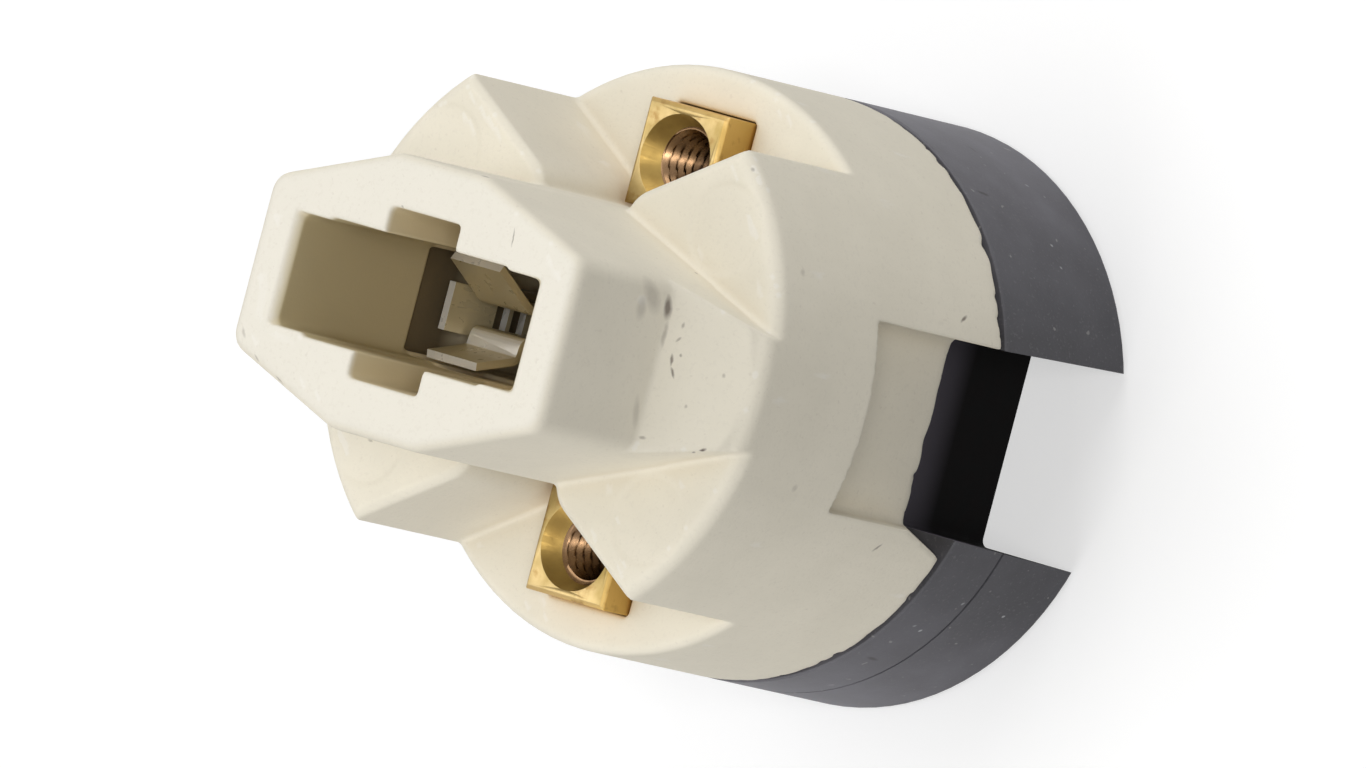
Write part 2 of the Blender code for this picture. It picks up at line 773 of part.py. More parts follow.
def contact_spring():
    """Right-hand spring: a U of spring steel that presses the clip's leaves together."""
    middle = spring_bottom + spring_thickness / 2
    offset = clip_thickness / 2 + stack_gap + spring_thickness / 2
    top = clip_ridge - spring_top_below_ridge
    base_y = clip_base_half_width + offset
    half = [
        (base_y - leaf_slope() * (top - clip_knee), top, 0),
        (base_y, clip_knee, spring_knee_radius),
        (base_y, middle, spring_bend_radius),
    ]
    path = rounded(half + [(-y, z, radius) for y, z, radius in half[::-1]], closed=False)
    strip = prism(thickened(path, spring_thickness), rivet_x - spring_half_length,
                  rivet_x + spring_half_length, "X")
    return combined(strip, [rivet_hole_cutter(spring_bottom - past, spring_top_face + past)])


def tab_rivet():
    """Right-hand rivet: flush below, domed above."""
    middle = tab_bottom + tab_thickness / 2
    head_seat = clip_top_face + stack_gap
    profile = [(rivet_flush_radius, tab_bottom), (rivet_radius, middle), (rivet_radius, head_seat),
               (rivet_head_radius, head_seat)]
    for step in range(1, arc_steps + 1):
        angle = math.pi / 2 * step / (arc_steps + 1)
        profile.append((rivet_head_radius * math.cos(angle), head_seat + rivet_head_height * math.sin(angle)))
    return turned(profile, (rivet_x, 0), round_sides // 4)


def main():
    """Build every piece of the holder."""
    remove_scene_objects()
    steatite = new_material("cream_steatite", (0.80, 0.76, 0.66), 0.75, 0.0)
    moulding = new_material("dark_grey_moulding", (0.075, 0.073, 0.080), 0.70, 0.0)
    brass = new_material("brass", (0.66, 0.46, 0.16), 0.32, 1.0)
    nickel = new_material("nickel_plate", (0.60, 0.58, 0.53), 0.28, 1.0)
    spring_steel = new_material("spring_steel", (0.42, 0.41, 0.40), 0.35, 1.0)
    zinc_steel = new_material("zinc_plated_steel", (0.62, 0.63, 0.65), 0.38, 1.0)

    place("ceramic_body", ceramic_body(), steatite)
    place("rear_cover", rear_cover(), moulding)

    contact_pieces = {
        "contact_clip": (contact_clip(), nickel),
        "contact_spring": (contact_spring(), spring_steel),
        "terminal_tab": (terminal_tab(), nickel),
        "tab_rivet": (tab_rivet(), zinc_steel),
    }
    for piece, (mesh, material) in contact_pieces.items():
        place(piece + "_right", mesh, material)
        place(piece + "_left", mesh, material, turn=math.pi)

    block = threaded_block()
    place("threaded_block_upper", block, brass, location=(0, 0, upper_block_lift))
    place("threaded_block_lower", block, brass, turn=math.pi)

    screw = cover_screw()
    washer = screw_washer()
    for side, y in (("upper", block_centre_y), ("lower", -block_centre_y)):
        place("cover_screw_" + side, screw, zinc_steel, screw_drive_angles[side], (0, y, 0))
        place("screw_washer_" + side, washer, zinc_steel, 0.0, (0, y, 0))


main()
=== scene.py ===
"""Looks of the oven lamp holder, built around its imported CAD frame.

Frame: metres, origin in the middle of the rear face, +Z towards the lamp, +X along the lamp well.
"""
import math

import bmesh
import bpy
from mathutils import Matrix, Vector, noise


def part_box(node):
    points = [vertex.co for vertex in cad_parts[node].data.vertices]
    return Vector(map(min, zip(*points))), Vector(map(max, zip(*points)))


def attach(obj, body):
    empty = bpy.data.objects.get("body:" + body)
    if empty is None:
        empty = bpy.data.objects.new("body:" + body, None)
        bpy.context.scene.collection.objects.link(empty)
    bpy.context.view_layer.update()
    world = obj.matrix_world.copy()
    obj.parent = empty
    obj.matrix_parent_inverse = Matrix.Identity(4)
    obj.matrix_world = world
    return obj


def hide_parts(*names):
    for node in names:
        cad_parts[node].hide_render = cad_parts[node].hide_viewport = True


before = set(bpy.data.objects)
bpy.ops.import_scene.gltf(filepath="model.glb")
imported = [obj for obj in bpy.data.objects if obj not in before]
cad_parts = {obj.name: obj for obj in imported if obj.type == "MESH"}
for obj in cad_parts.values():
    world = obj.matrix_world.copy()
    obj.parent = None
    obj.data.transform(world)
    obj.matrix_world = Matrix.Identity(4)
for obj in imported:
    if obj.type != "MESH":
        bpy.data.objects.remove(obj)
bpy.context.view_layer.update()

mm = 0.001

# Levels and sizes read from the frame
ceramic_low, ceramic_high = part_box("ceramic_body")
body_radius = ceramic_high.x
front = ceramic_high.z
ceramic_rear = ceramic_low.z

# Camera, fitted to the photograph; its place is measured from the middle of the boss front
camera_right = Vector((0.7269, 0.2544, -0.6379))
camera_up = Vector((-0.2088, 0.9667, 0.1477))
camera_shift_right = 13.447 * mm
camera_shift_up = -3.988 * mm
camera_distance = 1456.454 * mm
camera_lens = 800.0
camera_sensor = 36.0

# Stage and light; the floor has one brightness as it is seen and one as it lights the holder
floor_half_size = 3.0
floor_drop = 0.01 * mm
floor_bounce = 0.30
floor_white = 0.55
floor_glow = 0.50
world_strength = 0.04
# Each panel's direction from the holder, distance and size in metres, power in watts
panels = {
    "zenith_panel": ((0.0, 0.0, 1.0), 1.6, 1.6, 3.6),
    "tilted_panel": ((-0.5, 0.0, 1.0), 1.6, 1.6, 14.2),
    "upper_side_panel": ((0.0, 1.0, 0.35), 1.6, 1.2, 13.0),
    "lower_side_panel": ((0.0, -1.0, 0.35), 1.6, 1.2, 12.4),
    "right_panel": ((1.0, 0.0, 0.4), 1.6, 1.2, 3.0),
    "camera_panel": ((0.654, 0.026, 0.756), 1.9, 0.5, 9.2),
}

# Softened ceramic
ceramic_voxel = 0.13 * mm
ceramic_smooth_rounds = 3
ceramic_smooth_factor = 0.5
ceramic_triangles = 190000
weld_distance = 0.001 * mm

# Round press marks on the wings, and the eased ends of the well's mouth
wing_front = front - 10.7 * mm
press_mark_x = 9.33 * mm
press_mark_y = 7.25 * mm
press_mark_radius = 2.23 * mm
press_mark_edge = 0.35 * mm
press_mark_depth = 0.06 * mm
well_end_x = 7.8 * mm
well_end_half_width = 2.85 * mm
mouth_ease = 0.45 * mm
mouth_inset = 0.2 * mm

# Worn rear edge of the ceramic, around the rim and across the slot floors
edge_reach = 0.55 * mm
edge_wave = 0.20 * mm
edge_wave_size = 1.1 * mm
edge_chip = 0.40 * mm
edge_chip_size = 0.6 * mm
edge_chip_level = 0.2
edge_chip_layer = 5 * mm
edge_inward_share = 0.5
slot_floor_x = 10.5 * mm
slot_half_width = 4.75 * mm

# Lamp well: a box that holds its inner faces only, and depths measured from the front, at which its painted
# shade and painted light change
well_reach_x = 8.7 * mm
well_reach_y = 4.45 * mm
well_lip = 0.12 * mm
well_painted_shade_start = 0.4 * mm
well_painted_shade_full = 8.0 * mm
well_step_depth = 9.8 * mm
well_step_edge = 0.3 * mm
well_corner_edge = 0.1 * mm
pocket_shade_full = well_step_depth + 3.0 * mm
pocket_shade_end = well_step_depth + 5.5 * mm
notch_start_y = 3.0 * mm
contact_shade_full = 0.95 * mm
contact_shade_end = 1.25 * mm

# Gloss and colours of the ceramic and of its well; several are painted light and painted shade, as their
# names say
ceramic_gloss = 0.35
cream = (0.790, 0.740, 0.617)
cream_light = (0.830, 0.778, 0.652)
cream_front_painted_light = (0.82, 0.79, 0.71)
cream_powder = (0.69, 0.64, 0.54)
cream_speck = (0.50, 0.43, 0.35)
cream_wear_and_highlight = (0.88, 0.85, 0.78)
cream_corner_shade = (0.70, 0.61, 0.46)
well_painted_shade = (0.50, 0.42, 0.25)
well_painted_shade_deep = (0.56, 0.47, 0.28)
well_notch_painted_shade = (0.68, 0.58, 0.38)
well_painted_light_behind_step = (0.90, 0.78, 0.54)
well_shade = (0.16, 0.12, 0.065)
mark_brown = (0.13, 0.095, 0.078)

# Painted shade where other surfaces close in: the share of open sky from which the painted shade starts and
# at which it is full
corner_shade_reach = 2.0 * mm
corner_shade_start = 0.80
corner_shade_full = 0.15
corner_shade_samples = 8

# Colours of the cover, where its painted sheen sets in and is full, and the painted shade and the gloss in
# its slots
moulding_grey = (0.050, 0.048, 0.056)
moulding_grey_light = (0.096, 0.094, 0.106)
moulding_filler = (0.15, 0.15, 0.155)
moulding_dust = (0.36, 0.35, 0.34)
moulding_smudge = (0.022, 0.018, 0.018)
moulding_fleck = (0.45, 0.46, 0.47)
painted_sheen_start_y = 7.0 * mm
painted_sheen_full_y = 14.2 * mm
# Painted shade in the cover's slots, and the heights over which a painted light grows towards the ceramic
slot_painted_shade = (0.006, 0.006, 0.006)
slot_painted_shade_blotch = (0.010, 0.009, 0.009)
slot_painted_light = (0.17, 0.155, 0.185)
slot_painted_light_start = 4.0 * mm
slot_painted_light_full = 8.0 * mm
slot_gloss = 0.05

# Faces of the cover's slots lie within this half width and inside this radius, and look sideways
cover_slot_half_width = 5.4 * mm
cover_slot_reach = 14.3 * mm
cover_slot_upward = 0.5

# Threads of the brass blocks, and the cone that leads into them
thread_pitch = 0.6 * mm
thread_low_radius = 1.47 * mm
thread_high_radius = 1.78 * mm
thread_length = 9.0 * mm
thread_levels_per_turn = 12
thread_sides = 64
cone_depth = 1.1 * mm
cone_mouth_radius = 2.22 * mm
cone_rise = 0.2 * mm

# Which faces belong to the bore and the cone: slack at their borders, and how far a face may look up
bore_slack = 0.02 * mm
cone_foot_slack = 0.05 * mm
cone_upward = 0.9

# Fine edges of metal parts and cover
block_bevel = 0.12 * mm
clip_bevel = 0.08 * mm
metal_bevel = 0.05 * mm
cover_bevel = 0.12 * mm
bevel_segments = 2
sharp_angle = math.radians(35.0)

# Faces of the cover that are shaded round: slack in their radius, and how squarely they look outward
round_slack = 0.03 * mm
round_outward = 0.97

# Hairline seam around the lower arm of the cover, with its angles in degrees
hairline_height = 5.7 * mm
hairline_half_width = 0.075 * mm
hairline_depth = 0.22 * mm
hairline_overshoot = 0.5 * mm
hairline_start = 190
hairline_sweep = 160
hairline_steps = 96

# Scratches of the metals, and how much tone and scratches change their roughness
scratch_width = 0.09 * mm
wide_scratch = 0.4 * mm
cloud_roughness = 0.06
scratch_roughness = 0.08

# Marks of handling: start and end in mm, radius in mm, strength
mark_wobble = 0.06 * mm
mark_wobble_size = 0.35 * mm
mark_core = 0.35
ceramic_marks = {
    "dark smudge under the end of the boss": ((10.3, 3.35, 30.6), (10.3, 2.55, 30.4), 0.30, 0.80),
    "its tail": ((10.3, 2.4, 30.3), (10.35, 1.0, 30.25), 0.16, 0.40),
    "grey rub above it": ((10.2, 3.8, 32.2), (10.3, 2.9, 31.4), 0.60, 0.26),
    "second rub": ((10.3, 2.9, 32.35), (10.3, 2.4, 32.3), 0.45, 0.24),
    "speck on the ramp": ((10.94, 2.4, 29.8), (10.94, 2.2, 29.8), 0.10, 0.45),
    "second speck": ((10.95, 1.7, 29.8), (10.85, 1.5, 29.9), 0.09, 0.45),
    "curved stroke, upper half": ((10.83, 0.85, 29.9), (10.89, 0.3, 29.86), 0.09, 0.75),
    "curved stroke, lower half": ((10.92, 0.2, 29.83), (11.12, -0.22, 29.68), 0.09, 0.75),
    "dot beside it": ((11.16, 0.92, 29.65), (11.16, 0.88, 29.65), 0.09, 0.50),
    "faint dots lower down": ((12.95, 0.52, 28.3), (12.95, 0.45, 28.3), 0.11, 0.35),
    "faint dot near the foot": ((11.84, -1.38, 29.14), (11.84, -1.42, 29.14), 0.09, 0.35),
    "dark dot by the rim": ((12.95, -3.2, 28.3), (12.8, -3.32, 28.4), 0.14, 0.95),
    "its tail by the rim": ((12.5, -3.42, 28.45), (12.35, -3.47, 28.3), 0.12, 0.65),
    # A darker band along the lower foot of the boss end
    "darker band at the lower foot": ((10.3, -1.6, 30.95), (10.3, -2.9, 30.6), 0.28, 0.20),
    "dot at the lower foot": ((10.42, -3.38, 30.2), (10.63, -3.37, 30.05), 0.10, 0.45),
    "spot by the upper foot": ((8.62, 4.83, 27.2), (8.66, 4.82, 27.2), 0.12, 0.40),
    "spot on the wing's rim": ((9.82, 10.35, 26.5), (9.86, 10.3, 26.5), 0.12, 0.45),
    "dash by the upper slot": ((13.36, 5.64, 12.8), (13.22, 5.95, 12.4), 0.11, 0.80),
    "dash by the lower slot": ((13.12, -6.12, 14.6), (13.33, -5.7, 14.28), 0.10, 0.60),
    "faint spot on the drum": ((13.1, 6.21, 24.8), (13.1, 6.15, 24.8), 0.22, 0.22),
    "another lower down": ((13.94, -3.96, 22.3), (13.94, -4.0, 22.3), 0.24, 0.22),
    "scratch on the front": ((5.73, 4.88, 37.5), (5.84, 3.85, 37.5), 0.06, 0.60),
    "line at the shoulder": ((2.4, 6.8, 37.0), (2.9, 6.85, 36.9), 0.09, 0.60),
    "dash on the lower wing": ((-9.5, -7.28, 26.8), (-9.1, -7.32, 26.8), 0.10, 0.75),
    "rub on the left edge": ((-9.5, -3.4, 37.5), (-9.2, -3.8, 37.45), 0.13, 0.30),
    "nick on the left edge": ((-8.35, -4.5, 37.44), (-8.1, -4.7, 37.38), 0.11, 0.40),
    "long nick on the left edge": ((-6.8, -5.17, 37.37), (-6.25, -5.45, 37.27), 0.09, 0.45),
    "fleck at the notch": ((-1.58, 4.32, 37.4), (-1.6, 4.36, 37.45), 0.10, 0.45),
}
cover_dark_marks = {
    "smudge on the upper arm": ((8.38, 11.83, 8.3), (8.5, 11.75, 7.5), 0.14, 0.85),
    "small smudge above it": ((4.6, 13.75, 5.4), (5.15, 13.55, 5.2), 0.10, 0.50),
    "smudge on the lower arm": ((8.95, -11.4, 8.0), (8.89, -11.45, 7.2), 0.16, 0.80),
}
cover_pale_marks = {
    "fleck on the upper arm": ((10.33, 10.17, 4.2), (10.36, 10.14, 4.15), 0.09, 0.60),
    "second fleck": ((7.1, 12.64, 3.4), (7.15, 12.61, 3.3), 0.10, 0.40),
    "third fleck": ((11.15, 9.26, 4.1), (11.2, 9.2, 4.0), 0.08, 0.45),
    "bright fleck on the lower arm": ((10.94, -9.51, 7.1), (10.97, -9.48, 7.05), 0.11, 0.90),
    "dust beside it": ((11.09, -9.33, 7.8), (11.12, -9.3, 7.7), 0.09, 0.45),
    "fleck behind the seam": ((12.15, -7.9, 2.75), (12.17, -7.87, 2.7), 0.10, 0.75),
    "fleck before the seam": ((12.27, -7.72, 6.1), (12.3, -7.68, 6.0), 0.10, 0.45),
}


def add(tree, kind, inputs=None, **settings):
    """New node with its settings and its inputs, each a value or another node's output."""
    item = tree.nodes.new(kind)
    for key, value in settings.items():
        setattr(item, key, value)
    for key, value in (inputs or {}).items():
        if isinstance(value, bpy.types.NodeSocket):
            tree.links.new(value, item.inputs[key])
        else:
            item.inputs[key].default_value = value
    return item


def arithmetic(tree, operation, first, second=0.0):
    """Result of one sum on numbers or outputs."""
    return add(tree, "ShaderNodeMath", {0: first, 1: second}, operation=operation).outputs[0]


def product(tree, first, *others):
    """Product of numbers or outputs."""
    for other in others:
        first = arithmetic(tree, "MULTIPLY", first, other)
    return first


def vector_sum(tree, operation, inputs):
    """Result of one sum on vectors."""
    return add(tree, "ShaderNodeVectorMath", inputs, operation=operation).outputs[0]


def blend(tree, factor, first, second):
    """Mix of two colours, each a tuple or an output. Sockets 6, 7 and 2 are the node's colour ones."""
    colours = [(*c, 1.0) if isinstance(c, tuple) else c for c in (first, second)]
    item = add(tree, "ShaderNodeMix", {0: factor, 6: colours[0], 7: colours[1]},
               data_type="RGBA", clamp_factor=True)
    return item.outputs[2]


def ranged(tree, value, low, high, to_low=0.0, to_high=1.0):
    """Value carried from one range to another, kept within it."""
    inputs = {"Value": value, "From Min": low, "From Max": high, "To Min": to_low, "To Max": to_high}
    return add(tree, "ShaderNodeMapRange", inputs, clamp=True).outputs[0]


def overlaid(tree, colour, layer, value, start, full, strength=1.0):
    """Colour under a layer that sets in at the value's start and reaches its strength where it is full."""
    return blend(tree, ranged(tree, value, start, full, to_high=strength), colour, layer)


def grain(tree, place, size, detail=2.0, stretch=(1.0, 1.0, 1.0)):
    """Noise whose features are about the given size in metres."""
    scale = tuple(share / size for share in stretch)
    scaled = add(tree, "ShaderNodeMapping", {"Vector": place, "Scale": scale}).outputs[0]
    return add(tree, "ShaderNodeTexNoise", {"Vector": scaled, "Scale": 1.0, "Detail": detail}).outputs[0]


def parts_of(tree, vector):
    """The three parts of a vector."""
    return add(tree, "ShaderNodeSeparateXYZ", {0: vector}).outputs


def new_material(name):
    """Empty material: its node tree, principled shader and place on the object."""
    material = bpy.data.materials.new(name)
    material.use_nodes = True
    tree = material.node_tree
    shader = tree.nodes["Principled BSDF"]
    place = add(tree, "ShaderNodeTexCoord").outputs["Object"]
    return material, tree, shader, place


def relief(tree, shader, height, distance, strength):
    """Bump on the shader from a height of 0 to 1."""
    bump = add(tree, "ShaderNodeBump", {"Height": height, "Distance": distance, "Strength": strength})
    tree.links.new(bump.outputs[0], shader.inputs["Normal"])


def strokes(tree, place, marks):
    """Strength of the strongest mark at a place, each mark a ragged stroke from its start to its end."""
    ragged = {"Vector": place, "Scale": 1 / mark_wobble_size}
    wobble = add(tree, "ShaderNodeTexNoise", ragged).outputs["Color"]
    centred = vector_sum(tree, "SUBTRACT", {0: wobble, 1: (0.5, 0.5, 0.5)})
    offset = vector_sum(tree, "SCALE", {0: centred, "Scale": 2 * mark_wobble})
    moved = vector_sum(tree, "ADD", {0: place, 1: offset})
    total = 0.0
    for start, end, radius, strength in marks.values():
        first = Vector(start) * mm
        last = Vector(end) * mm
        half_length = (last - first).length / 2 + radius * mm
        local = add(tree, "ShaderNodeMapping", {
            "Vector": moved,
            "Location": (first + last) / 2,
            "Rotation": Vector((1, 0, 0)).rotation_difference(last - first).to_euler(),
            "Scale": (half_length, radius * mm, radius * mm),
        }, vector_type="TEXTURE").outputs[0]
        reach = add(tree, "ShaderNodeVectorMath", {0: local}, operation="LENGTH").outputs["Value"]
        total = arithmetic(tree, "MAXIMUM", total, ranged(tree, reach, 1.0, mark_core, to_high=strength))
    return total


def painted_corner_shade(tree):
    """Mask of painted shade: one where other surfaces close in, zero in the open."""
    inputs = {"Distance": corner_shade_reach}
    openness = add(tree, "ShaderNodeAmbientOcclusion", inputs, samples=corner_shade_samples).outputs["AO"]
    return ranged(tree, openness, corner_shade_start, corner_shade_full)


def well_place(tree, place):
    """Distances from the middle of the well along and across it, and the depth below the front."""
    parts = parts_of(tree, place)
    along = arithmetic(tree, "ABSOLUTE", parts[0])
    across = arithmetic(tree, "ABSOLUTE", parts[1])
    depth = arithmetic(tree, "SUBTRACT", front, parts[2])
    return along, across, depth


def inside_well(tree, along, across, depth):
    """One within the lamp well, zero elsewhere."""
    in_length = arithmetic(tree, "LESS_THAN", along, well_reach_x)
    in_width = arithmetic(tree, "LESS_THAN", across, well_reach_y)
    return product(tree, in_length, in_width, ranged(tree, depth, well_lip, 4 * well_lip))


def painted_well_shade_colour(tree, along, across, depth):
    """Painted shade of the well: brown, a little paler deeper down, less dark in the notches, paler behind
    the step as painted light, and darkest around the contacts.
    """
    colour = blend(tree, ranged(tree, depth, well_painted_shade_start, well_painted_shade_full), well_painted_shade, well_painted_shade_deep)
    in_notch = ranged(tree, across, notch_start_y - well_corner_edge, notch_start_y)
    colour = blend(tree, in_notch, colour, well_notch_painted_shade)
    behind_step = ranged(tree, depth, well_step_depth, well_step_depth + well_step_edge)
    colour = blend(tree, behind_step, colour, well_painted_light_behind_step)
    in_pocket = ranged(tree, along, well_end_x, well_end_x + well_corner_edge)
    under_step = ranged(tree, depth, pocket_shade_end, pocket_shade_full)
    behind_contact = ranged(tree, across, contact_shade_end, contact_shade_full)
    hidden = arithmetic(tree, "MAXIMUM", under_step, behind_contact)
    return blend(tree, product(tree, in_pocket, hidden, behind_step), colour, well_shade)


def steatite():
    """Matt cream ceramic with faint mottling, pale edges of wear and painted highlight, a front face paler by
    painted light, painted shade in its corners and its well, and the marks of handling.
    """
    material, tree, shader, place = new_material("steatite_cream")
    along, across, depth = well_place(tree, place)
    mottled = grain(tree, place, size=3.5 * mm, detail=5.0)
    powder = grain(tree, place, size=0.20 * mm, detail=3.0)
    specks = grain(tree, place, size=0.26 * mm, detail=1.0)
    pointed = add(tree, "ShaderNodeNewGeometry").outputs["Pointiness"]
    colour = overlaid(tree, cream, cream_light, mottled, start=0.35, full=0.65)
    # Painted light: the front face made paler and cooler than the rest
    colour = overlaid(tree, colour, cream_front_painted_light, depth, start=0.25 * mm, full=0.05 * mm, strength=0.6)
    colour = overlaid(tree, colour, cream_powder, powder, start=0.44, full=0.34, strength=0.20)
    colour = overlaid(tree, colour, cream_speck, specks, start=0.71, full=0.77, strength=0.15)
    # Pale edges: partly wear, partly a painted highlight where edges face the light
    colour = overlaid(tree, colour, cream_wear_and_highlight, pointed, start=0.55, full=0.65, strength=0.45)
    # Painted shade, warm and darker, in corners and creases
    colour = blend(tree, painted_corner_shade(tree), colour, cream_corner_shade)
    in_well = inside_well(tree, along, across, depth)
    # Painted shade inside the lamp well
    colour = blend(tree, in_well, colour, painted_well_shade_colour(tree, along, across, depth))
    colour = blend(tree, strokes(tree, place, ceramic_marks), colour, mark_brown)
    rough = ranged(tree, mottled, low=0.3, high=0.7, to_low=0.66, to_high=0.80)
    tree.links.new(colour, shader.inputs["Base Color"])
    tree.links.new(rough, shader.inputs["Roughness"])
    shader.inputs["Specular IOR Level"].default_value = ceramic_gloss
    relief(tree, shader, arithmetic(tree, "ADD", powder, mottled), distance=0.016 * mm, strength=0.6)
    return material


def dark_moulding():
    """Matt dark grey moulding with filler specks and dust, and a painted sheen that makes it darker in the
    middle and lighter towards its upper and lower rim.
    """
    material, tree, shader, place = new_material("moulding_dark")
    cloudy = grain(tree, place, size=3.5 * mm, detail=5.0)
    fine = grain(tree, place, size=0.16 * mm, detail=2.0)
    dust = grain(tree, place, size=0.55 * mm, detail=1.0)
    across = arithmetic(tree, "ABSOLUTE", parts_of(tree, place)[1])
    painted_sheen = ranged(tree, across, painted_sheen_start_y, painted_sheen_full_y, to_low=0.72, to_high=1.55)
    colour = overlaid(tree, moulding_grey, moulding_grey_light, cloudy, start=0.35, full=0.68)
    # Painted sheen: the grey scaled darker in the middle and lighter towards the rims
    colour = vector_sum(tree, "SCALE", {0: colour, "Scale": painted_sheen})
    colour = overlaid(tree, colour, moulding_filler, fine, start=0.60, full=0.72, strength=0.3)
    colour = overlaid(tree, colour, moulding_dust, dust, start=0.74, full=0.78, strength=0.4)
    colour = blend(tree, strokes(tree, place, cover_dark_marks), colour, moulding_smudge)
    colour = blend(tree, strokes(tree, place, cover_pale_marks), colour, moulding_fleck)
    rough = ranged(tree, cloudy, low=0.3, high=0.7, to_low=0.54, to_high=0.70)
    tree.links.new(colour, shader.inputs["Base Color"])
    tree.links.new(rough, shader.inputs["Roughness"])
    relief(tree, shader, fine, distance=0.012 * mm, strength=0.7)
    return material


def painted_slot_shade():
    """Painted shade on the moulding in the side slots: near black in blotches, with a blue-grey painted light
    towards the ceramic.
    """
    material, tree, shader, place = new_material("painted_slot_shade")
    height = parts_of(tree, place)[2]
    blotches = grain(tree, place, size=0.9 * mm, detail=3.0)
    colour = overlaid(tree, slot_painted_shade, slot_painted_shade_blotch, blotches, start=0.35, full=0.65)
    colour = overlaid(tree, colour, slot_painted_light, height, start=slot_painted_light_start, full=slot_painted_light_full)
    rough = ranged(tree, blotches, low=0.3, high=0.7, to_low=0.70, to_high=0.85)
    tree.links.new(colour, shader.inputs["Base Color"])
    tree.links.new(rough, shader.inputs["Roughness"])
    shader.inputs["Specular IOR Level"].default_value = slot_gloss
    relief(tree, shader, blotches, distance=0.01 * mm, strength=0.5)
    return material


def metal(name, bright, dull, roughness, stretch, scratch=scratch_width, metallic=1.0,
          tarnish=None, sides=None):
    """Metal with stretched scratches and cloudy tone and, where given, tarnish and a colour for its sides."""
    material, tree, shader, place = new_material(name)
    cloudy = grain(tree, place, size=1.6 * mm, detail=4.0)
    drawn = grain(tree, place, scratch, detail=2.0, stretch=stretch)
    colour = overlaid(tree, bright, dull, cloudy, start=0.36, full=0.66)
    if sides:
        normal = add(tree, "ShaderNodeNewGeometry").outputs["True Normal"]
        colour = overlaid(tree, colour, sides, parts_of(tree, normal)[2], start=0.9, full=0.5)
    if tarnish:
        stain = grain(tree, place, size=0.7 * mm, detail=3.0)
        colour = overlaid(tree, colour, tarnish, stain, start=0.56, full=0.70, strength=0.7)
    clouded = ranged(tree, cloudy, low=0.3, high=0.7, to_low=roughness - cloud_roughness,
                     to_high=roughness + cloud_roughness)
    scratched = ranged(tree, drawn, low=0.4, high=0.7, to_high=scratch_roughness)
    tree.links.new(colour, shader.inputs["Base Color"])
    tree.links.new(arithmetic(tree, "ADD", clouded, scratched), shader.inputs["Roughness"])
    shader.inputs["Metallic"].default_value = metallic
    relief(tree, shader, drawn, distance=0.003 * mm, strength=0.2)
    return material


def block_brass():
    """Sawn and tarnished brass, with a redder tone on the sides of the blocks."""
    return metal("brass_tarnished", bright=(0.45, 0.335, 0.155), dull=(0.32, 0.23, 0.08), roughness=0.42,
                 stretch=(1.0, 0.08, 1.0), tarnish=(0.26, 0.15, 0.045), sides=(0.48, 0.30, 0.085))


def cone_brass():
    """Turned brass of the cones, darkened by a painted shade of the countersinks."""
    return metal("brass_cone", bright=(0.30, 0.20, 0.06), dull=(0.22, 0.14, 0.04), roughness=0.36,
                 stretch=(1.0, 1.0, 0.3))


def bore_brass():
    """Reddish brass of the threads, darker than the blocks as a painted shade inside the bores."""
    return metal("brass_bore", bright=(0.28, 0.17, 0.09), dull=(0.11, 0.065, 0.035), roughness=0.24,
                 stretch=(1.0, 1.0, 1.0), scratch=wide_scratch)


def nickel_plate():
    """Bright plate of the contacts and tabs, darker and browner on their sides as painted shade and a painted
    reflection of the warm ceramic around them.
    """
    return metal("nickel_bright", bright=(0.93, 0.91, 0.85), dull=(0.88, 0.85, 0.78), roughness=0.28,
                 stretch=(1.0, 1.0, 0.2), sides=(0.62, 0.53, 0.33), metallic=0.2, scratch=wide_scratch)


def spring_steel():
    """Satin steel of the contact springs."""
    return metal("spring_satin", bright=(0.46, 0.45, 0.43), dull=(0.36, 0.34, 0.32), roughness=0.34,
                 stretch=(1.0, 1.0, 0.06))


def zinc_plate():
    """Zinc-plated steel of the rivets, screws and washers."""
    return metal("zinc_plated", bright=(0.68, 0.69, 0.71), dull=(0.56, 0.56, 0.57), roughness=0.34,
                 stretch=(1.0, 1.0, 1.0))


def object_with(name, data):
    """Object in the scene for a mesh, a light or a camera."""
    item = bpy.data.objects.new(name, data)
    bpy.context.scene.collection.objects.link(item)
    return item


def welded_copy(node, name):
    """New object with a closed copy of a CAD node's mesh."""
    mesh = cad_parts[node].data.copy()
    mesh.materials.clear()
    bm = bmesh.new()
    bm.from_mesh(mesh)
    bmesh.ops.remove_doubles(bm, verts=bm.verts, dist=weld_distance)
    bm.to_mesh(mesh)
    bm.free()
    return object_with(name, mesh)


def applied(item):
    """The object with its modifiers made part of its mesh."""
    graph = bpy.context.evaluated_depsgraph_get()
    mesh = bpy.data.meshes.new_from_object(item.evaluated_get(graph))
    item.modifiers.clear()
    item.data = mesh
    return item


def joined_to_frame(item, node, materials):
    """The piece rides on the frame and stands for its CAD node."""
    item.data.materials.clear()
    for material in materials:
        item.data.materials.append(material)
    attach(item, "root")
    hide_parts(node)


def regridded(item):
    """Pressed-ceramic edges: the mesh is rebuilt on a fine grid and relaxed."""
    remesh = item.modifiers.new("grid", "REMESH")
    remesh.mode = "VOXEL"
    remesh.voxel_size = ceramic_voxel
    relax = item.modifiers.new("relax", "SMOOTH")
    relax.factor = ceramic_smooth_factor
    relax.iterations = ceramic_smooth_rounds
    applied(item)


def thinned(item, triangles):
    """The mesh with no more than the given number of triangles, shaded smooth."""
    item.data.calc_loop_triangles()
    share = triangles / len(item.data.loop_triangles)
    if share < 1:
        thin = item.modifiers.new("thin", "DECIMATE")
        thin.ratio = share
        applied(item)
    item.data.shade_smooth()


